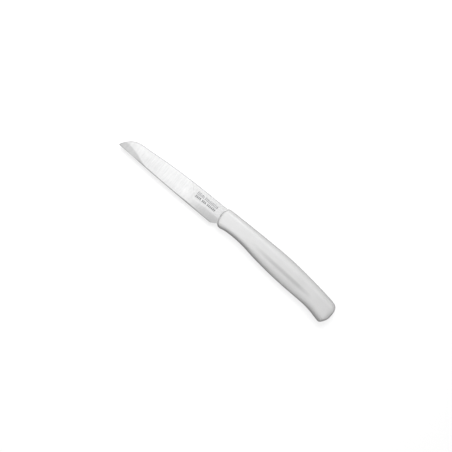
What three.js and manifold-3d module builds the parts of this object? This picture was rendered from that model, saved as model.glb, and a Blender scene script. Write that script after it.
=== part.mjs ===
// Paring knife with a stamped steel blade and a one-piece moulded handle.
// Millimetres. The knife lies on its side: +X runs from the tip to the butt,
// +Y from the cutting edge to the spine, and +Z up, out of the marked side.
// The outlines are drawn from the tip, then moved to the centre of the base.

import * as THREE from 'three';
import { mergeVertices } from 'three/addons/utils/BufferGeometryUtils.js';
import Module from 'manifold-3d';

// Driving dimensions
const OVERALL_LENGTH = 186.9;
const HANDLE_FRONT = 85;
const HANDLE_THICKNESS = 12.4;
const HANDLE_HALF = HANDLE_THICKNESS / 2;
const SHEET_THICKNESS = 1.2;
const EDGE_THICKNESS = 0.2;
const HEEL_X = 82.2;
const HEEL_Y = -2.6;
const TANG_END = 142;
const FIT_GAP = 0.3;

// Places of the origin in the drawing: the middle of the length and of the width
const ORIGIN_X = OVERALL_LENGTH / 2;
const ORIGIN_Y = 2.1;

// Blade outline as [x, y] stations, with the tip at 0, 0
const SPINE = through([
  [0, 0.6], [1, 2.4], [2.7, 4.5], [5.5, 7.1], [8.2, 8.65], [11, 9.4], [14.5, 9.8],
  [22, 10.3], [36, 11.3], [56, 12], [87, 12],
]);
const EDGE = through([[0, 0], [14, -0.6], [34, -1.45], [56, -2.1], [HEEL_X, HEEL_Y]]);

// Tang inside the handle: its upper edge from the shoulder back, and its lower edge
// on from the cut at the heel
const HEEL_CUT_END = 86.6;
const SHOULDER_START = 87.2;
const SHOULDER_END = 89.6;
const TANG_TOP = straight([[SHOULDER_START, 12], [SHOULDER_END, 10.4], [TANG_END, 7.4]]);
const TANG_BOTTOM = straight([
  [HEEL_X, HEEL_Y], [HEEL_CUT_END, 0], [SHOULDER_END, 1.2], [TANG_END, 0.8],
]);
const NOSE_LENGTH = 3.3;
const NOSE_DEPTH = 3;
const TANG_STATIONS = [
  (HEEL_X + HEEL_CUT_END) / 2, HEEL_CUT_END, SHOULDER_START, SHOULDER_END, 100, 113, 126,
  ...steps(0, Math.PI / 2, 5).map((turn) => TANG_END - NOSE_LENGTH * Math.cos(turn)),
];
const LOCK_HOLES = [[103, 5.6], [128, 4.4]];
const LOCK_HOLE_RADIUS = 2;
const CROSS_BAR_LENGTH = 4;

// Grind of the blade faces: its height above the edge along most of the blade and at the
// heel, and the stretch over which it runs down from one to the other
const GRIND_HEIGHT = 14.1;
const HEEL_GRIND_HEIGHT = 6.1;
const PLUNGE_START = 53.5;
const PLUNGE_END = 64.5;

// Heights of a blade section's points, as shares of the section from its edge
const BLADE_LEVELS = [1, 0.72, 0.43, 0.2, 0];

// Handle side view: top and bottom lines, then the rounded butt, whose two halves
// meet at its rearmost point and are joined rib by rib
const BUTT_START = 178;
const HANDLE_TOP = through([
  [84.7, 11.9], [85.1, 12.45], [86.2, 12.9], [91, 13.05], [128, 13.05], [140, 12.7],
  [152, 11.75], [165, 10.3], [BUTT_START, 8.45],
]);
const HANDLE_BOTTOM = through([
  [84.7, -1.2], [85.6, -1.5], [87, -1.4], [90.5, -1], [99, -0.5], [109.5, -1.15],
  [120, -2.8], [133, -4.3], [148, -5.4], [168, -6.25], [BUTT_START, -8.1],
]);
const BUTT_TOP = splineCurve([
  [BUTT_START, 8.45], [181.2, 7.93], [183.8, 7.2], [185.5, 6.05], [186.5, 4.2],
  [186.85, 2], [OVERALL_LENGTH, -0.2],
]);
const BUTT_BOTTOM = splineCurve([
  [BUTT_START, -8.1], [180.8, -8.75], [182.7, -8.9], [184.3, -7.65], [185.8, -5.3],
  [186.7, -2.8], [OVERALL_LENGTH, -0.2],
]);
const BUTT_STEPS = 12;
const BUTT_LAST = 0.96;
const BUTT_FULLNESS = 0.7;

// Handle front rim: how far it recedes from the foremost point at each height
const RIM_RECESS = through([
  [-1.6, 3.6], [0, 1.9], [2.1, 1], [5, 0.2], [7.5, 0], [10, 0.45], [12.8, 1.6],
]);
const RIM_FADE = 12;

// Handle section: half thickness along the length, with a level stretch that the handle
// lies on, and the share of the height over which the side is flat
const LEVEL_START = 109;
const LEVEL_END = 118;
const HALF_THICKNESS = through([
  [84.7, 2.2], [85.1, 3.7], [85.5, 4.5], [86.5, 5], [90, 5.3], [95, 5.65], [100, 5.95],
  [105, 6.13], [LEVEL_START, HANDLE_HALF], [LEVEL_END, HANDLE_HALF], [128, 6.08], [140, 5.8],
  [152, 5.5], [160, 5.4], [166, 5.46], [170, 5.7], [174, 6.03], [BUTT_START, HANDLE_HALF],
]);
const FLAT_SHARE = through([[84.7, 0.46], [105, 0.42], [130, 0.32], [155, 0.24], [BUTT_START, 0.34]]);
const FLAT_STEPS = 6;
const CORNER_START = 0.08;
const CORNER_STEPS = 6;
const CORNER_POWER = 0.75;

// Finger scoop in both sides of the rear half: it falls from a rim on the section's middle
// to its floor below, and the floor leans on inwards down to the bottom edge
const SCOOP_DEPTH = 1.4;
const SCOOP = { front: LEVEL_END, frontFull: 140, rearFull: 154, rear: 172 };
const SCOOP_RIM = 0.04;
const SCOOP_FLOOR = -0.38;
const SCOOP_LEAN = 0.4;

// Materials
const BLADE_STEEL = { color: 0xd9dbdc, roughness: 0.32, metalness: 1 };
const HANDLE_PLASTIC = { color: 0xe9e9e7, roughness: 0.5, metalness: 0 };

// Points closer together than this are one point
const WELD = 1e-4;

const wasm = await Module();
wasm.setup();

// A function of x through the given [x, y] stations, smooth or in straight pieces.
function through(stations, Interpolant = THREE.CubicInterpolant) {
  const xs = stations.map(([x]) => x);
  const ys = stations.map(([, y]) => y);
  const curve = new Interpolant(xs, ys, 1);
  return (x) => curve.evaluate(x)[0];
}

function straight(stations) {
  return through(stations, THREE.LinearInterpolant);
}

function splineCurve(points) {
  return new THREE.SplineCurve(points.map(([x, y]) => new THREE.Vector2(x, y)));
}

function smoothStep(from, to, x) {
  const t = THREE.MathUtils.clamp((x - from) / (to - from), 0, 1);
  return t * t * (3 - 2 * t);
}

function steps(from, to, count) {
  return Array.from({ length: count + 1 }, (_, i) => from + ((to - from) * i) / count);
}

// A closed body through rings of equal length. Each ring runs down the +Z side and
// back up the -Z side, so that its ends close with a ladder of strips between the sides.
function loft(rings) {
  const size = rings[0].length;
  const index = [];
  for (let r = 0; r < rings.length - 1; r += 1) {
    for (let j = 0; j < size; j += 1) {
      const a = r * size + j;
      const b = r * size + ((j + 1) % size);
      index.push(a, b, a + size, b, b + size, a + size);
    }
  }
  const last = (rings.length - 1) * size;
  for (let j = 0; j < size / 2 - 1; j += 1) {
    const k = size - 1 - j;
    index.push(j, k, j + 1, k, k - 1, j + 1);
    index.push(last + j, last + j + 1, last + k, last + k, last + j + 1, last + k - 1);
  }
  const geometry = new THREE.BufferGeometry();
  const places = rings.flat().flatMap((p) => p.toArray());
  geometry.setAttribute('position', new THREE.Float32BufferAttribute(places, 3));
  geometry.setIndex(index);
  return geometry;
}

function toSolid(geometry) {
  const bare = geometry.clone();
  bare.deleteAttribute('normal');
  bare.deleteAttribute('uv');
  const merged = mergeVertices(bare, WELD);
  const mesh = new wasm.Mesh({
    numProp: 3,
    vertProperties: new Float32Array(merged.getAttribute('position').array),
    triVerts: new Uint32Array(merged.getIndex().array),
  });
  return new wasm.Manifold(mesh);
}

function toGeometry(solid) {
  const mesh = solid.getMesh();
  const geometry = new THREE.BufferGeometry();
  geometry.setAttribute('position', new THREE.BufferAttribute(mesh.vertProperties, 3));
  geometry.setIndex(new THREE.BufferAttribute(mesh.triVerts, 1));
  geometry.translate(-ORIGIN_X, -ORIGIN_Y, HANDLE_HALF);
  geometry.computeVertexNormals();
  return geometry;
}

function part(name, solid, finish) {
  const mesh = new THREE.Mesh(toGeometry(solid), new THREE.MeshStandardMaterial(finish));
  mesh.name = name;
  return mesh;
}

// A closed ring from the points down its +Z side.
function mirrored(side) {
  return [...side, ...side.map((p) => new THREE.Vector3(p.x, p.y, -p.z)).reverse()];
}

// A round bar along Z, centred on the blade's middle plane.
function crossBar([x, y], radius) {
  const bar = new THREE.CylinderGeometry(radius, radius, CROSS_BAR_LENGTH, 24);
  bar.rotateX(Math.PI / 2);
  bar.translate(x, y, 0);
  return toSolid(bar);
}

function bladeTop(x) {
  if (x < SHOULDER_START) return SPINE(x);
  return TANG_TOP(x) - tangNose(x);
}

function bladeBottom(x) {
  if (x < HEEL_X) return EDGE(x);
  return TANG_BOTTOM(x) + tangNose(x);
}

// How far the tang's edges draw in at its rounded end.
function tangNose(x) {
  const into = THREE.MathUtils.clamp((x - TANG_END + NOSE_LENGTH) / NOSE_LENGTH, 0, 1);
  return NOSE_DEPTH * (1 - Math.sqrt(1 - into * into));
}

// Half the blade's thickness: a flat grind up from the edge to the sheet's own faces,
// which runs out under the front of the handle.
function bladeHalf(x, y) {
  const full = SHEET_THICKNESS / 2;
  const thin = EDGE_THICKNESS / 2;
  const plunge = smoothStep(PLUNGE_START, PLUNGE_END, x);
  const height = THREE.MathUtils.lerp(GRIND_HEIGHT, HEEL_GRIND_HEIGHT, plunge);
  const ground = thin + ((full - thin) * (y - EDGE(Math.min(x, HEEL_X)))) / height;
  const runOut = smoothStep(HANDLE_FRONT, SHOULDER_END, x);
  return THREE.MathUtils.lerp(Math.min(full, ground), full, runOut);
}

// The blade with its tang, grown by a clearance on its sides and at the tang's end.
function bladeBody(stations, clearance) {
  const rings = stations.map((x) => {
    const top = bladeTop(x);
    const bottom = bladeBottom(x);
    const back = clearance * smoothStep(SHOULDER_END, TANG_END, x);
    return mirrored(BLADE_LEVELS.map((level) => {
      const y = THREE.MathUtils.lerp(bottom, top, level);
      const out = clearance * (2 * level - 1);
      return new THREE.Vector3(x + back, y + out, bladeHalf(x, y) + clearance);
    }));
  });
  return toSolid(loft(rings));
}

function makeBlade() {
  const stations = [
    0.05, ...steps(0.8, 14.5, 10), ...steps(18, PLUNGE_START, 8),
    ...steps(PLUNGE_START + 2.5, PLUNGE_END, 4), ...steps(71, HEEL_X, 2), ...TANG_STATIONS,
  ];
  const holes = LOCK_HOLES.map((place) => crossBar(place, LOCK_HOLE_RADIUS));
  return holes.reduce((body, hole) => body.subtract(hole), bladeBody(stations, 0));
}

// One side of a handle section, from its top edge down to its bottom edge.
// u runs from 1 at the top to -1 at the bottom, and w is the share of the half thickness.
function sectionSide(flatShare) {
  const corner = steps(CORNER_START, Math.PI / 2, CORNER_STEPS).map((angle) => ({
    u: THREE.MathUtils.lerp(flatShare, 1, Math.cos(angle) ** CORNER_POWER),
    w: Math.sin(angle),
  }));
  const flat = steps(flatShare, -flatShare, FLAT_STEPS).slice(1, -1);
  const lower = corner.map(({ u, w }) => ({ u: -u, w })).reverse();
  return [...corner, ...flat.map((u) => ({ u, w: 1 })), ...lower];
}

// How deep the scoop is at x and at the section height u.
function scoop(x, u) {
  const along = smoothStep(SCOOP.front, SCOOP.frontFull, x)
    * (1 - smoothStep(SCOOP.rearFull, SCOOP.rear, x));
  const across = 1 - smoothStep(SCOOP_FLOOR, SCOOP_RIM, u)
    + SCOOP_LEAN * Math.max(SCOOP_FLOOR - u, 0);
  return SCOOP_DEPTH * along * across;
}

// A handle ring between a top and a bottom point of the side view.
function handleRing(top, bottom, half) {
  return mirrored(sectionSide(FLAT_SHARE(top.x)).map(({ u, w }) => {
    const x = THREE.MathUtils.lerp(bottom.x, top.x, (u + 1) / 2);
    const y = THREE.MathUtils.lerp(bottom.y, top.y, (u + 1) / 2);
    const fade = 1 - smoothStep(0, RIM_FADE, x - HANDLE_FRONT);
    return new THREE.Vector3(x + RIM_RECESS(y) * fade, y, (half - scoop(top.x, u)) * w);
  }));
}

function makeHandle() {
  const stations = [
    84.7, 85.1, 85.5, 86.5, 88.5, 91, 95, 100, 105, LEVEL_START, LEVEL_END,
    ...steps(122, 174, 13), BUTT_START,
  ];
  const rings = stations.map((x) => handleRing(
    new THREE.Vector2(x, HANDLE_TOP(x)),
    new THREE.Vector2(x, HANDLE_BOTTOM(x)),
    HALF_THICKNESS(x),
  ));
  const buttHeight = HANDLE_TOP(BUTT_START) - HANDLE_BOTTOM(BUTT_START);
  for (const t of steps(0, BUTT_LAST, BUTT_STEPS).slice(1)) {
    const top = BUTT_TOP.getPoint(t);
    const bottom = BUTT_BOTTOM.getPoint(t);
    const share = Math.min(1, (top.y - bottom.y) / buttHeight);
    rings.push(handleRing(top, bottom, HANDLE_HALF * share ** BUTT_FULLNESS));
  }
  const socket = bladeBody([HANDLE_FRONT - 2, ...TANG_STATIONS], FIT_GAP);
  const pegs = LOCK_HOLES.map((place) => crossBar(place, LOCK_HOLE_RADIUS - FIT_GAP));
  return pegs.reduce((body, peg) => body.add(peg), toSolid(loft(rings)).subtract(socket));
}

const knife = new THREE.Group();
knife.add(part('blade', makeBlade(), BLADE_STEEL));
knife.add(part('handle', makeHandle(), HANDLE_PLASTIC));

export default knife;
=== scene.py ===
import math

import bmesh
import bpy
import numpy as np
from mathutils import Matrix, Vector


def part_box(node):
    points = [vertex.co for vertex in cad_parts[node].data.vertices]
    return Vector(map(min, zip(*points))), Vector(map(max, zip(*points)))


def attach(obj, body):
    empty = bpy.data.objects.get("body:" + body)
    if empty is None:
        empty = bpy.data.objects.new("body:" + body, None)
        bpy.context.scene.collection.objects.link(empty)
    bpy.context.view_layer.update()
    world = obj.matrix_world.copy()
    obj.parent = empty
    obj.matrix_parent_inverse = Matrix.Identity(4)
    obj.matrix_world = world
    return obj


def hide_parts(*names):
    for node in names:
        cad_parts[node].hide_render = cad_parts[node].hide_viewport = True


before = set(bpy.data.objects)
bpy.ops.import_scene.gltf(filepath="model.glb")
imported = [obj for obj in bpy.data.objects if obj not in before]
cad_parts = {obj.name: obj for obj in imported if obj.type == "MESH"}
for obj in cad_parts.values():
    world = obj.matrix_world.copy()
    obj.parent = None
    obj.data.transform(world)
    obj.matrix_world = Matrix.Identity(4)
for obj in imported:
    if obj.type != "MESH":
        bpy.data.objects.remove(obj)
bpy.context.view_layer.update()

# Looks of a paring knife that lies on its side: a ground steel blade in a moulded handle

MM = 0.001
WELD = 1e-6
SMOOTH_UNDER = 30

# Driving sizes in millimetres, from the blade's tip as in the CAD model:
# x towards the butt, y towards the spine, z out of the marked side
OVERALL_LENGTH = 186.9
HANDLE_FRONT = 85.0
SHEET_HALF = 0.6
HEEL_X = 82.2
HEEL_Y = -2.6
TANG_END = 142.0
SOCKET_START = 83.0
SOCKET_GAP = 0.04

# The drawing's zero in the row frame, and the handle's half thickness, from the CAD boxes
handle_low, handle_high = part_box("handle")
blade_low, blade_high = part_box("blade")
ZERO = Vector((
    handle_high.x - OVERALL_LENGTH * MM,
    blade_low.y - HEEL_Y * MM,
    (blade_low.z + blade_high.z) / 2,
))
HANDLE_HALF = (handle_high.z - handle_low.z) / 2 / MM


# ---------------------------------------------------------------- curves and meshes

def through(stations):
    """A smooth function through (x, y) stations, each slope the mean of the two secants."""
    xs, ys = np.array(stations, float).T
    secants = np.diff(ys) / np.diff(xs)
    inner = (secants[:-1] + secants[1:]) / 2
    slopes = np.concatenate([secants[:1], inner, secants[-1:]])

    def curve(x):
        x = np.clip(x, xs[0], xs[-1])
        i = np.clip(np.searchsorted(xs, x, side="right") - 1, 0, len(xs) - 2)
        width = xs[i + 1] - xs[i]
        t = (x - xs[i]) / width
        ends = (1 + 2 * t) * (1 - t) ** 2 * ys[i] + t * t * (3 - 2 * t) * ys[i + 1]
        return ends + width * t * (1 - t) * ((1 - t) * slopes[i] - t * slopes[i + 1])

    return curve


def straight(stations):
    """A function through (x, y) stations, straight between them."""
    xs, ys = np.array(stations, float).T
    return lambda x: np.interp(x, xs, ys)


def spline_point(points, t):
    """A point of the Catmull-Rom curve through the points, t from 0 to 1."""
    place = t * (len(points) - 1)
    i = min(int(place), len(points) - 2)
    w = place - i
    p = [np.array(points[min(max(k, 0), len(points) - 1)], float) for k in range(i - 1, i + 3)]
    start, end = (p[2] - p[0]) / 2, (p[3] - p[1]) / 2
    bend = 2 * p[1] - 2 * p[2] + start + end
    turn = -3 * p[1] + 3 * p[2] - 2 * start - end
    return bend * w ** 3 + turn * w ** 2 + start * w + p[1]


def smooth_step(low, high, x):
    t = np.clip((x - low) / (high - low), 0, 1)
    return t * t * (3 - 2 * t)


def blend(a, b, share):
    return a + (b - a) * share


def add_object(name, data):
    added = bpy.data.objects.new(name, data)
    bpy.context.scene.collection.objects.link(added)
    return added


def make_mesh(name, points, faces, smooth_under=SMOOTH_UNDER):
    """A mesh object from points in millimetres of the drawing."""
    places = np.array(points, float) * MM + np.array(ZERO)
    mesh = bpy.data.meshes.new(name)
    mesh.from_pydata(places.tolist(), [], faces)
    mesh.validate()
    piece = add_object(name, mesh)
    shade(piece, smooth_under)
    return piece


def shade(piece, smooth_under=SMOOTH_UNDER):
    """Smooth shading, with edges sharper than the angle in degrees kept sharp."""
    mesh = piece.data
    mesh.polygons.foreach_set("use_smooth", [True] * len(mesh.polygons))
    mesh.set_sharp_from_angle(angle=math.radians(smooth_under))


def skin(rings):
    """Points and side faces of a body through rings of equal length, open at both ends."""
    size = len(rings[0])
    points = [p for ring in rings for p in ring]
    faces = []
    for r in range(len(rings) - 1):
        for j in range(size):
            a, b = r * size + j, r * size + (j + 1) % size
            faces.append((a, b, b + size, a + size))
    return points, faces


def loft(rings):
    """A skin closed by flat ends."""
    points, faces = skin(rings)
    size = len(rings[0])
    last = (len(rings) - 1) * size
    for j in range(size // 2 - 1):
        k = size - 1 - j
        faces.append((j, k, k - 1, j + 1))
        faces.append((last + j, last + j + 1, last + k - 1, last + k))
    return points, faces


def mirrored(side):
    """A closed ring from the points down its +z side."""
    return side + [(x, y, -z) for x, y, z in reversed(side)]


def prism(outline, low, high):
    """Points and faces of a closed prism along z over a counter-clockwise outline."""
    count = len(outline)
    points = [(x, y, low) for x, y in outline] + [(x, y, high) for x, y in outline]
    faces = [tuple(reversed(range(count))), tuple(range(count, 2 * count))]
    for j in range(count):
        k = (j + 1) % count
        faces.append((j, k, k + count, j + count))
    return points, faces


def joined(parts):
    """Several (points, faces) bodies as one."""
    points, faces = [], []
    for part_points, part_faces in parts:
        base = len(points)
        points += part_points
        faces += [tuple(base + i for i in face) for face in part_faces]
    return points, faces


def disc(x, y, radius, sides=48):
    turns = np.arange(sides) * 2 * math.pi / sides
    return [(x + radius * math.cos(a), y + radius * math.sin(a)) for a in turns]


def combine(piece, tool, operation):
    """Cuts the tool out of the piece or joins it on, for good."""
    modifier = piece.modifiers.new("combine", "BOOLEAN")
    modifier.operation = operation
    modifier.solver = "EXACT"
    modifier.material_mode = "TRANSFER"
    modifier.object = tool
    graph = bpy.context.evaluated_depsgraph_get()
    result = bpy.data.meshes.new_from_object(piece.evaluated_get(graph))
    piece.modifiers.clear()
    piece.data = result
    bpy.data.objects.remove(tool)
    clean(result)


def clean(data):
    """Welds points, triangulates the cut faces and drops slivers that lie back to back."""
    mesh = bmesh.new()
    mesh.from_mesh(data)
    bmesh.ops.remove_doubles(mesh, verts=mesh.verts, dist=WELD)
    bmesh.ops.dissolve_degenerate(mesh, edges=mesh.edges, dist=WELD)
    bmesh.ops.triangulate(mesh, faces=[face for face in mesh.faces if len(face.verts) > 4])
    mesh.verts.index_update()
    on_corners = {}
    for face in mesh.faces:
        corners = frozenset(vert.index for vert in face.verts)
        on_corners.setdefault(corners, []).append(face)
    doubled = [face for faces in on_corners.values() if len(faces) > 1 for face in faces]
    bmesh.ops.delete(mesh, geom=doubled, context="FACES")
    mesh.to_mesh(data)
    mesh.free()


# ---------------------------------------------------------------- blade

# The side view: the spine and the edge, then the tang inside the handle with its rounded nose
SPINE = through([
    (0, 0.6), (1, 2.4), (2.7, 4.5), (5.5, 7.1), (8.2, 8.65), (11, 9.4), (14.5, 9.8),
    (22, 10.3), (36, 11.3), (56, 12), (87, 12),
])
EDGE = through([(0, 0), (14, -0.6), (34, -1.45), (56, -2.1), (HEEL_X, HEEL_Y)])
HEEL_CUT_END = 86.6
SHOULDER_START = 87.2
SHOULDER_END = 89.6
TANG_TOP = straight([(SHOULDER_START, 12), (SHOULDER_END, 10.4), (TANG_END, 7.4)])
TANG_BOTTOM = straight([
    (HEEL_X, HEEL_Y), (HEEL_CUT_END, 0), (SHOULDER_END, 1.2), (TANG_END, 0.8),
])
NOSE_LENGTH = 3.3
NOSE_DEPTH = 0.9 * NOSE_LENGTH

# Lock holes through the tang, and the pegs of the handle that fill them
LOCK_HOLES = [(103, 5.6), (128, 4.4)]
LOCK_HOLE_RADIUS = 2.0
LOCK_PEG_RADIUS = 1.7
THROUGH_SHEET = (-1, 1)
INTO_HANDLE = (-2, 2)

# The grind: its height above the edge, how rounded it is, and half of what it leaves there
GRIND_HEIGHT = through([(0, 9), (8, 9.3), (16, 12), (26, 14.1), (53.5, 14.1)])
HEEL_GRIND_HEIGHT = 6.1
PLUNGE = (53.5, 64.5)
GRIND_ROUNDING = 1.06
EDGE_HALF = through([
    (0, 0.16), (14, 0.16), (24, 0.1), (50, 0.1), (63, 0.22), (72, 0.1), (HEEL_X, 0.04),
])

# The cutting edge: half its thickness at the apex, and the height of its micro bevel, which
# takes up no more than a share of the facet above it
APEX_HALF = 0.015
MICRO_BEVEL = 0.5
MICRO_OF_FACET_MOST = 0.2

# A steeper facet along the edge, tall at the tip and low behind it
FACET_HEIGHT = through([
    (0, 4.3), (5, 4.6), (10, 4.4), (15, 3.2), (19, 1.7), (24, 0.8), (HEEL_X, 0.8),
])
FACET_SLOPE = 0.08
FACET_HALF_LEAST = 2 * APEX_HALF
FACET_SHARE_MOST = 0.5

# The spine's rounded corner, lowest point first: (below the spine, how far it turns in)
SPINE_ROUNDING = [(0.24, 0), (0.19, 0.06), (0.09, 0.19), (0, 0.36)]
SPINE_ROUNDING_SHARE_MOST = 0.4

# Where rings stand along the blade: close together at the tip, the plunge and the heel
TANG_STATIONS = [
    *np.linspace(84.4, HEEL_CUT_END, 6), 86.9, SHOULDER_START, SHOULDER_END, 100, 112, 125,
    *(TANG_END - NOSE_LENGTH * np.cos(np.linspace(0, math.pi / 2, 9))),
]
BLADE_STATIONS = [
    *(0.6 * np.linspace(0, 1, 4) ** 2), *np.linspace(1.0, 16, 46), *np.linspace(16.8, 52, 45),
    *np.linspace(52.6, 66, 40), *np.linspace(67, 81.6, 24), *np.linspace(81.9, 84.2, 8),
    *TANG_STATIONS,
]
GRIND_LEVELS = 34
FACET_LEVELS = (0.75, 0.5, 0.25)
BLADE_SMOOTH_UNDER = 20

# The etched mark's two rows of plain bars: groups of (start, count), their pitch, and the
# bars that take turns in them as (y, length, height)
MARK_ROWS = [
    ([(63.4, 4), (69.0, 3), (73.4, 6)], 1.2, [(5.7, 0.75, 1.6)]),
    ([(63.2, 6), (69.8, 11)], 1.0, [(8.3, 0.4, 2.4), (8.1, 0.4, 2.0)]),
]
BAR_CORNER = 0.12
ETCH_DEPTH = 0.02
ETCH_CLEARANCE = 0.3


def tang_nose(x):
    """How far the tang's outline comes in at its rounded end."""
    into = min(max((x - TANG_END + NOSE_LENGTH) / NOSE_LENGTH, 0), 1)
    return NOSE_DEPTH * (1 - math.sqrt(1 - into * into))


def blade_top(x):
    return SPINE(x) if x < SHOULDER_START else TANG_TOP(x) - tang_nose(x)


def blade_bottom(x):
    return EDGE(x) if x < HEEL_X else TANG_BOTTOM(x) + tang_nose(x)


def blade_half(x, y):
    """Half the blade's thickness: a slightly rounded grind up to the sheet's own faces."""
    height = blend(GRIND_HEIGHT(x), HEEL_GRIND_HEIGHT, smooth_step(*PLUNGE, x))

    def ground(up):
        short = np.clip(1 - up / height, 0, 1)
        return blend(SHEET_HALF, EDGE_HALF(x), short ** GRIND_ROUNDING)

    def faceted(up):
        below = max(FACET_HEIGHT(x) - up, 0)
        return max(min(ground(up), ground(up + below) - FACET_SLOPE * below), FACET_HALF_LEAST)

    up = y - EDGE(min(x, HEEL_X))
    half = faceted(up)
    if x < HEEL_X and up < MICRO_BEVEL:
        half = blend(APEX_HALF, faceted(MICRO_BEVEL), max(up, 0) / MICRO_BEVEL)
    return blend(half, SHEET_HALF, smooth_step(HANDLE_FRONT, SHOULDER_END, x))


def blade_levels(height, facet):
    """Heights down a blade section as (share of the height, how far the face turns in)."""
    per_mm = min(1 / height, SPINE_ROUNDING_SHARE_MOST / SPINE_ROUNDING[0][0])
    levels = [(1 - down * per_mm, turn) for down, turn in reversed(SPINE_ROUNDING)]
    facet_share = min(facet / height, FACET_SHARE_MOST)
    above_facet = np.linspace(levels[-1][0], facet_share, GRIND_LEVELS)[1:]
    levels += [(share, 0) for share in above_facet]
    levels += [(facet_share * part, 0) for part in FACET_LEVELS]
    micro_share = min(MICRO_BEVEL / height, MICRO_OF_FACET_MOST * facet_share)
    return levels + [(micro_share, 0), (0, 0)]


def blade_ring(x, gap=0.0):
    """A ring round the blade, or round the room for it with a gap on all sides."""
    top, bottom = blade_top(x), blade_bottom(x)
    side = []
    for share, turn in blade_levels(top - bottom, FACET_HEIGHT(x)):
        y = blend(bottom, top, share)
        half = blade_half(x, y)
        half -= turn * half / SHEET_HALF
        side.append((x, y + gap * (2 * share - 1), half + gap))
    return mirrored(side)


def rounded_bar(x, y, length, height, steps=3):
    """Outline of a bar with rounded corners, centred on (x, y)."""
    outline = []
    for turn, (sx, sy) in enumerate([(1, 1), (-1, 1), (-1, -1), (1, -1)]):
        for a in np.linspace(0, math.pi / 2, steps) + turn * math.pi / 2:
            outline.append((
                x + sx * (length / 2 - BAR_CORNER) + BAR_CORNER * math.cos(a),
                y + sy * (height / 2 - BAR_CORNER) + BAR_CORNER * math.sin(a),
            ))
    return outline


def mark_bars():
    """Each bar of the mark, which spells nothing: (x, y, length, height)."""
    bars = []
    for groups, pitch, kinds in MARK_ROWS:
        for start, count in groups:
            bars += [(start + i * pitch, *kinds[i % len(kinds)]) for i in range(count)]
    return bars


def make_blade(steel, etch):
    rings = [blade_ring(x) for x in BLADE_STATIONS]
    blade = make_mesh("blade_steel", *loft(rings), BLADE_SMOOTH_UNDER)
    blade.data.materials.append(steel)
    holes = [prism(disc(*place, LOCK_HOLE_RADIUS), *THROUGH_SHEET) for place in LOCK_HOLES]
    combine(blade, make_mesh("lock_holes", *joined(holes)), "DIFFERENCE")
    etched = SHEET_HALF - ETCH_DEPTH, SHEET_HALF + ETCH_CLEARANCE
    bars = [prism(rounded_bar(*bar), *etched) for bar in mark_bars()]
    mark = make_mesh("mark", *joined(bars))
    mark.data.materials.append(etch)
    combine(blade, mark, "DIFFERENCE")
    shade(blade, BLADE_SMOOTH_UNDER)
    planar_map(blade)
    return blade


def planar_map(piece):
    """A map along x and y, which gives the grinding lines their direction."""
    layer = piece.data.uv_layers.new(name="flat")
    corners = np.zeros(len(piece.data.loops), int)
    piece.data.loops.foreach_get("vertex_index", corners)
    places = np.zeros(len(piece.data.vertices) * 3)
    piece.data.vertices.foreach_get("co", places)
    flat = places.reshape(-1, 3)[corners][:, :2] / (OVERALL_LENGTH * MM) + 0.5
    layer.data.foreach_set("uv", flat.ravel())


# ---------------------------------------------------------------- handle

BUTT_START = 178.0
HANDLE_TOP = through([
    (84.5, 11.6), (85.1, 12.45), (86.2, 12.9), (91, 13.05), (128, 13.05), (140, 12.7),
    (152, 11.75), (165, 10.3), (173, 9.25), (BUTT_START, 8.45),
])
HANDLE_BOTTOM = through([
    (85, -1.3), (85.6, -1.5), (87, -1.4), (90.5, -1), (99, -0.5), (109.5, -1.15), (120, -2.8),
    (133, -4.3), (148, -5.4), (168, -6.25), (173, -6.95), (BUTT_START, -8.1),
])

# The hooked butt's outline, from where the handle's top and bottom leave off to its end
BUTT_END_Y = -0.2
BUTT_TOP = [
    (BUTT_START, 8.45), (181.2, 7.93), (183.8, 7.2), (185.5, 6.05), (186.5, 4.2),
    (186.85, 2), (OVERALL_LENGTH, BUTT_END_Y),
]
BUTT_BOTTOM = [
    (BUTT_START, -8.1), (180.8, -8.75), (182.7, -8.9), (184.3, -7.65), (185.8, -5.3),
    (186.7, -2.8), (OVERALL_LENGTH, BUTT_END_Y),
]

# Rings over the butt: their number, how far the last one goes, how they crowd towards the
# end, and how full the section stays
BUTT_RINGS = 55
BUTT_LAST_RING = 0.994
BUTT_CROWDING = 1.25
BUTT_FULLNESS = 0.385
BUTT_INTO_MOST = 0.99999

# How far the front rim is set back at each height, and the length over which that fades
RIM_RECESS = through([
    (-1.6, 3.6), (0, 1.9), (2.1, 1), (5, 0.2), (7.5, 0), (10, 0.45), (12.8, 1.6),
])
RIM_FADE = 12.0

# Half the handle's thickness: (x, half) of the rounded front end, then along the body
FRONT = [
    (84.55, 0.75), (84.7, 1.5), (84.85, 2.3), (85.0, 3.1), (85.14, 3.75), (85.32, 4.25),
    (85.55, 4.6), (85.9, 4.86), (86.5, 5.0),
]
HALF_THICKNESS = through([
    (86.5, 5.0), (90, 5.3), (95, 5.65), (100, 5.95), (105, 6.13), (109, 6.2), (118, 6.2),
    (128, 6.08), (140, 5.8), (152, 5.5), (160, 5.4), (166, 5.46), (170, 5.7), (174, 6.03),
    (BUTT_START, 6.2),
])
BODY_STATIONS = [*np.linspace(87.1, 104, 30)[:-1], *np.linspace(104, BUTT_START, 90)]

# The section: how much of the side is flat, and how its corners round off
FLAT_SHARE = through([(85, 0.46), (105, 0.42), (130, 0.32), (155, 0.24), (BUTT_START, 0.34)])
CORNER_POWER = 0.75
CORNER_POINTS = 22
FLAT_POINTS = 20

# Shallow scoop in both sides of the rear half
SCOOP_DEPTH = 1.4
SCOOP_ALONG = (108, 140, 154, 172)
SCOOP_RIM = 0.04
SCOOP_FLOOR = -0.38
SCOOP_LEAN = 0.4

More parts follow.
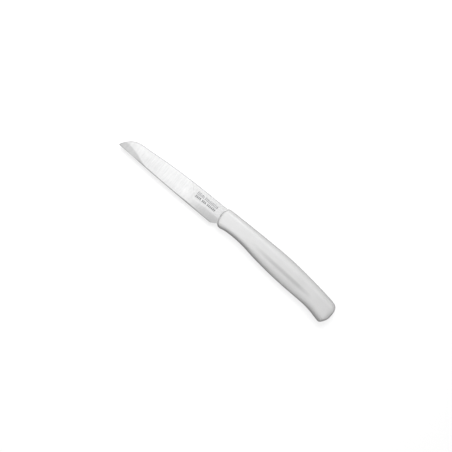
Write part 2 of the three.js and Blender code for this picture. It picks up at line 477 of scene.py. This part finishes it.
# Moulding line round the middle, and the gate's dished mark at the butt with its nub
SEAM_HEIGHT = 0.05
SEAM_HALF = 0.09
SEAM_SHARE_MOST = 0.5
GATE_RADIUS = 1.5
GATE_FLAT_SHARE = 0.7
GATE_DEPTH = 0.16
NUB_RADIUS = 0.55
NUB_FLAT_SHARE = 0.6
NUB_HEIGHT_SHARE = 0.7


def section_side(half, flat_share):
    """Down one side of a section: (height from 1 to -1, share of the half thickness)."""
    first = math.asin(min(SEAM_HALF / half, SEAM_SHARE_MOST))
    angles = np.linspace(first, math.pi / 2, CORNER_POINTS)
    corner = [(blend(flat_share, 1, math.cos(a) ** CORNER_POWER), math.sin(a)) for a in angles]
    corner[-1] = (flat_share, 1.0)
    flat = [(u, 1.0) for u in np.linspace(flat_share, -flat_share, FLAT_POINTS)[1:-1]]
    lower = [(-u, w) for u, w in reversed(corner)]
    return corner + flat + lower


def scoop(x, u):
    """Depth of the scoop at a height u of the section, from 1 to -1."""
    front, front_full, rear_full, rear = SCOOP_ALONG
    along = smooth_step(front, front_full, x) * (1 - smooth_step(rear_full, rear, x))
    across = 1 - smooth_step(SCOOP_FLOOR, SCOOP_RIM, u) + SCOOP_LEAN * max(SCOOP_FLOOR - u, 0)
    return SCOOP_DEPTH * along * across


def gate_mark(y, z):
    """How far the butt's skin is pushed in around the moulding gate."""
    away = math.hypot(y - BUTT_END_Y, z)
    dish = 1 - smooth_step(GATE_RADIUS * GATE_FLAT_SHARE, GATE_RADIUS, away)
    nub = 1 - smooth_step(NUB_RADIUS * NUB_FLAT_SHARE, NUB_RADIUS, away)
    return GATE_DEPTH * (dish - NUB_HEIGHT_SHARE * nub)


def handle_ring(top, bottom, half, at_butt=False):
    """A ring between a top and a bottom point of the side view, with the seam on its middle.

    The seam is lower where the section is under half as thick as the handle.
    """
    def place(u, z, out=0.0):
        x, y = blend(bottom[0], top[0], (u + 1) / 2), blend(bottom[1], top[1], (u + 1) / 2)
        recess = RIM_RECESS(y) * (1 - smooth_step(0, RIM_FADE, x - HANDLE_FRONT))
        push = gate_mark(y, z) if at_butt else 0.0
        return (x + recess - push, y + out, z)

    seam = SEAM_HEIGHT * min(half / HANDLE_HALF * 2, 1)
    section = section_side(half, FLAT_SHARE(top[0]))
    side = [place(u, (half - scoop(top[0], u)) * w) for u, w in section]
    back = [(x, y, -z) for x, y, z in reversed(side)]
    return [place(1, 0, seam)] + side + [place(-1, 0, -seam)] + back


def handle_rings():
    rings = []
    for x, half in FRONT + [(x, HALF_THICKNESS(x)) for x in BODY_STATIONS]:
        rings.append(handle_ring((x, HANDLE_TOP(x)), (x, HANDLE_BOTTOM(x)), half))
    even = np.linspace(0, BUTT_LAST_RING, BUTT_RINGS + 1)[1:]
    for t in 1 - (1 - even) ** BUTT_CROWDING:
        top, bottom = spline_point(BUTT_TOP, t), spline_point(BUTT_BOTTOM, t)
        middle = (top[0] + bottom[0]) / 2
        into = min((middle - BUTT_START) / (OVERALL_LENGTH - BUTT_START), BUTT_INTO_MOST)
        half = HANDLE_HALF * (1 - into ** 4) ** BUTT_FULLNESS
        rings.append(handle_ring(top, bottom, half, at_butt=True))
    return rings


def handle_body():
    """The handle's outer skin, closed by strips at the front and by a fan at the butt."""
    rings = handle_rings()
    points, faces = skin(rings)
    size = len(rings[0])
    half = size // 2
    faces.append((0, size - 1, 1))
    for j in range(1, half - 1):
        faces.append((j, size - j, size - j - 1, j + 1))
    faces.append((half - 1, half + 1, half))
    last = (len(rings) - 1) * size
    points.append(tuple(np.mean(rings[-1], axis=0)))
    for j in range(size):
        faces.append((last + j, last + (j + 1) % size, len(points) - 1))
    return points, faces


def make_handle(plastic):
    """The moulding, with a socket that follows the tang, and pegs through its lock holes."""
    handle = make_mesh("handle_moulding", *handle_body())
    handle.data.materials.append(plastic)
    rings = [blade_ring(x, SOCKET_GAP) for x in [SOCKET_START, *TANG_STATIONS]]
    rings.append([(x + SOCKET_GAP, y, z) for x, y, z in rings[-1]])
    combine(handle, make_mesh("socket", *loft(rings)), "DIFFERENCE")
    pegs = [prism(disc(*place, LOCK_PEG_RADIUS), *INTO_HANDLE) for place in LOCK_HOLES]
    combine(handle, make_mesh("pegs", *joined(pegs)), "UNION")
    shade(handle)
    return handle


# ---------------------------------------------------------------- materials

class Nodes:
    """The node tree of a material or a world, built by short calls."""

    def __init__(self, owner):
        owner.use_nodes = True
        self.owner = owner
        self.tree = owner.node_tree

    def add(self, kind, inputs=None, **settings):
        """A new node, with its inputs set by index or name to values or to other outputs."""
        node = self.tree.nodes.new("ShaderNode" + kind)
        for key, value in settings.items():
            setattr(node, key, value)
        for key, value in (inputs or {}).items():
            self.set(node, key, value)
        return node

    def set(self, node, key, value):
        if isinstance(value, bpy.types.NodeSocket):
            self.tree.links.new(value, node.inputs[key])
        else:
            node.inputs[key].default_value = value

    def noise(self, scale, stretch=(1, 1, 1), detail=3.0, roughness=0.5):
        """Noise in the piece's own coordinates; scale is in cells a metre."""
        place = self.add("TexCoord").outputs["Object"]
        size = tuple(scale * s for s in stretch)
        mapped = self.add("Mapping", {"Vector": place, "Scale": size}).outputs["Vector"]
        settings = {"Vector": mapped, "Scale": 1.0, "Detail": detail, "Roughness": roughness}
        return self.add("TexNoise", settings).outputs["Fac"]

    def spread(self, value, low, high, source=(0.3, 0.7), **settings):
        """The value's source range spread over low to high, and held there beyond it."""
        inputs = {
            "Value": value, "From Min": source[0], "From Max": source[1],
            "To Min": low, "To Max": high,
        }
        return self.add("MapRange", inputs, **settings).outputs["Result"]

    def math(self, operation, first, second=0.0):
        return self.add("Math", {0: first, 1: second}, operation=operation).outputs[0]

    def mix_values(self, share, first, second):
        return self.add("Mix", {0: share, 2: first, 3: second}).outputs[0]

    def mix_colours(self, share, first, second):
        """A mix of two colours, each an output or a plain (red, green, blue)."""
        inputs = {0: share}
        for key, colour in ((6, first), (7, second)):
            inputs[key] = colour if isinstance(colour, bpy.types.NodeSocket) else (*colour, 1)
        return self.add("Mix", inputs, data_type="RGBA").outputs[2]

    def bump(self, height, distance, normal=None):
        """A normal bumped by the height, on top of another bump if one is given."""
        inputs = {"Height": height, "Distance": distance, "Strength": 1.0}
        if normal is not None:
            inputs["Normal"] = normal
        return self.add("Bump", inputs).outputs["Normal"]

    def shader_values(self, **values):
        shader = self.tree.nodes["Principled BSDF"]
        for key, value in values.items():
            self.set(shader, key.replace("_", " "), value)


def steel_material():
    """Satin stainless steel: lines across the blade where it is ground, a plain sheet elsewhere."""
    n = Nodes(bpy.data.materials.new("ground_steel"))
    height = n.add("SeparateXYZ", {0: n.add("TexCoord").outputs["Object"]}).outputs["Z"]
    depth = n.math("ABSOLUTE", n.math("SUBTRACT", height, ZERO.z))
    ground_below, unground_above = (SHEET_HALF - 0.012) * MM, (SHEET_HALF - 0.001) * MM
    sheet = n.spread(depth, 0.0, 1.0, source=(ground_below, unground_above))
    hair = n.noise(5500, stretch=(1, 0.02, 0.02), detail=3)
    lines = n.noise(3600, stretch=(1, 0.025, 0.025), detail=4, roughness=0.65)
    bands = n.noise(260, stretch=(1, 0.08, 0.08), detail=3)
    rolled = n.noise(900, stretch=(0.03, 1, 1), detail=4, roughness=0.6)
    wipes = n.noise(130, stretch=(0.3, 1, 1), detail=3)
    grit = n.spread(n.mix_values(0.13, lines, bands), 0, 1, source=(0.33, 0.67))
    ground_tone = n.mix_colours(grit, (0.74, 0.742, 0.745), (0.80, 0.80, 0.80))
    sheet_grain = n.spread(rolled, 0, 1)
    sheet_tone = n.mix_colours(sheet_grain, (0.635, 0.637, 0.64), (0.715, 0.715, 0.715))
    ground_rough = n.spread(grit, 0.23, 0.19, source=(0, 1))
    rough = n.mix_values(sheet, ground_rough, n.spread(rolled, 0.2, 0.27))
    relief = n.mix_values(sheet, n.mix_values(0.5, hair, lines), rolled)
    n.shader_values(
        Base_Color=n.mix_colours(sheet, ground_tone, sheet_tone),
        Roughness=n.math("ADD", rough, n.spread(wipes, -0.015, 0.025)),
        Metallic=1.0, Anisotropic=0.4,
        Tangent=n.add("Tangent", direction_type="UV_MAP", uv_map="flat").outputs["Tangent"],
        Normal=n.bump(relief, 4e-6),
    )
    return n.owner


def etch_material():
    """Electro-etched steel: dark grey and dull."""
    n = Nodes(bpy.data.materials.new("etched_steel"))
    grain = n.noise(12000, detail=4)
    n.shader_values(
        Base_Color=n.mix_colours(n.spread(grain, 0, 1), (0.16, 0.165, 0.17), (0.30, 0.305, 0.31)),
        Roughness=n.spread(grain, 0.5, 0.68), Metallic=0.6,
        Normal=n.bump(grain, 3e-6),
    )
    return n.owner


def plastic_material():
    """White polypropylene with a fine mould texture, and fine scuffs from use."""
    n = Nodes(bpy.data.materials.new("moulded_plastic"))
    grain = n.noise(3600, detail=3)
    waves = n.noise(210, detail=2)
    hands = n.noise(95, detail=5, roughness=0.65)
    scuffs = n.noise(1500, stretch=(0.06, 1, 1), detail=6, roughness=0.75)
    handled = n.spread(hands, 0, 1)
    worn = n.math("MULTIPLY", n.spread(scuffs, 0, 1, source=(0.56, 0.7)), handled)
    unworn_tone = n.mix_colours(handled, (0.805, 0.805, 0.802), (0.845, 0.845, 0.845))
    rough = n.math("ADD", n.spread(hands, 0.38, 0.46), n.spread(grain, -0.03, 0.04))
    n.shader_values(
        Base_Color=n.mix_colours(n.math("MULTIPLY", worn, 0.5), unworn_tone, (0.72, 0.72, 0.71)),
        Roughness=n.math("ADD", rough, n.math("MULTIPLY", worn, 0.12)),
        IOR=1.49, Subsurface_Weight=0.1, Subsurface_Radius=(1, 1, 1), Subsurface_Scale=0.0012,
        Normal=n.bump(scuffs, 1.2e-5, n.bump(grain, 2.4e-5, n.bump(waves, 5e-5))),
    )
    return n.owner


def self_lit_material(name, tone, roughness, glow):
    """A dull grey surface that gives off an even white light of its own."""
    n = Nodes(bpy.data.materials.new(name))
    n.shader_values(
        Base_Color=(tone, tone, tone, 1), Roughness=roughness, Specular_IOR_Level=0.0,
        Emission_Color=(1, 1, 1, 1), Emission_Strength=glow,
    )
    return n.owner


# ---------------------------------------------------------------- stage, light and camera

FLOOR_HALF = 3.0
DOME_TURNS = 48
DOME_ROWS = 12
DOME_TOP_ANGLE = 0.98 * math.pi / 2
DOME_SINK = 0.01

# Soft glows in the studio's surround: (direction, cosine at the rim, cosine at full, radiance)
SURROUND = 0.15
GLOWS = [
    ((0, 0, 1), -0.2, 1.0, 0.34),
    ((0, 1, 0.25), 0.2, 1.0, 0.12),
    ((-0.06, -0.045, 1), 0.984, 0.9998, 1.04),
]

# The soft round lamp, in metres of the row frame, degrees and watts
KEY_PLACE = (-0.092, 0.183, 0.366)
KEY_TARGET = (-0.09, 0, 0)
KEY_SIZE = 0.28
KEY_SPREAD = 100
KEY_POWER = 0.37

# The camera: the drawing's point under it and the width it takes in, both in millimetres,
# and its turn in degrees
LENS = 85
SENSOR_WIDTH = 36
VIEW_CENTRE = (92.24, 2.41)
VIEW_WIDTH = 310.1
VIEW_TURN = 38.79


def make_stage_object(name, points, faces, material):
    mesh = bpy.data.meshes.new(name)
    mesh.from_pydata(points, [], faces)
    mesh.materials.append(material)
    return add_object(name, mesh)


def make_floor():
    """A plain floor that sends no light and no reflection back to the knife."""
    far = FLOOR_HALF
    corners = [(-far, -far, 0), (far, -far, 0), (far, far, 0), (-far, far, 0)]
    material = self_lit_material("floor", tone=0.5, roughness=0.8, glow=0.7)
    floor = make_stage_object("floor", corners, [(0, 1, 2, 3)], material)
    floor.visible_diffuse = False
    floor.visible_glossy = False


def make_dome():
    """A pale backdrop round the floor, which only the camera sees."""
    points, faces = [], []
    for i in range(DOME_ROWS + 1):
        rise = i / DOME_ROWS * DOME_TOP_ANGLE
        radius = FLOOR_HALF * math.cos(rise)
        z = FLOOR_HALF * math.sin(rise) - DOME_SINK
        for j in range(DOME_TURNS):
            a = j * 2 * math.pi / DOME_TURNS
            points.append((radius * math.cos(a), radius * math.sin(a), z))
    for i in range(DOME_ROWS):
        low, high = i * DOME_TURNS, (i + 1) * DOME_TURNS
        for j in range(DOME_TURNS):
            k = (j + 1) % DOME_TURNS
            faces.append((low + j, high + j, high + k, low + k))
    material = self_lit_material("backdrop", tone=0, roughness=1.0, glow=0.97)
    dome = make_stage_object("backdrop", points, faces, material)
    for flag in ("visible_diffuse", "visible_glossy", "visible_transmission", "visible_shadow"):
        setattr(dome, flag, False)


def make_world():
    """Soft studio light: a dim surround that brightens overhead."""
    world = bpy.data.worlds.new("studio")
    bpy.context.scene.world = world
    n = Nodes(world)
    toward = n.add("TexCoord").outputs["Generated"]
    total = SURROUND
    for direction, rim, full, radiance in GLOWS:
        aim = Vector(direction).normalized()
        along = n.add("VectorMath", {0: toward, 1: aim}, operation="DOT_PRODUCT").outputs["Value"]
        glow = n.spread(along, 0, radiance, (rim, full), interpolation_type="SMOOTHSTEP")
        total = n.math("ADD", glow, total)
    background = n.tree.nodes["Background"]
    n.set(background, "Color", (1, 1, 1, 1))
    n.set(background, "Strength", total)


def make_key_light():
    data = bpy.data.lights.new("key", "AREA")
    data.shape = "DISK"
    data.size = KEY_SIZE
    data.spread = math.radians(KEY_SPREAD)
    data.energy = KEY_POWER
    light = add_object("key", data)
    light.location = KEY_PLACE
    light.visible_camera = False
    light.rotation_mode = "QUATERNION"
    light.rotation_quaternion = (Vector(KEY_PLACE) - Vector(KEY_TARGET)).to_track_quat("Z", "Y")


def make_camera():
    """Straight above the knife's side, turned so that the tip points up and to the left."""
    data = bpy.data.cameras.new("camera")
    data.lens = LENS
    data.sensor_width = SENSOR_WIDTH
    camera = add_object("camera", data)
    distance = VIEW_WIDTH * MM * LENS / SENSOR_WIDTH
    camera.location = ZERO + Vector((VIEW_CENTRE[0] * MM, VIEW_CENTRE[1] * MM, distance))
    camera.rotation_euler = (0, 0, math.radians(VIEW_TURN))
    bpy.context.scene.camera = camera


make_camera()
blade = make_blade(steel_material(), etch_material())
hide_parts("blade")
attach(blade, "root")

handle = make_handle(plastic_material())
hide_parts("handle")
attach(handle, "root")

make_floor()
make_dome()
make_world()
make_key_light()

bpy.context.scene.view_settings.view_transform = "Standard"
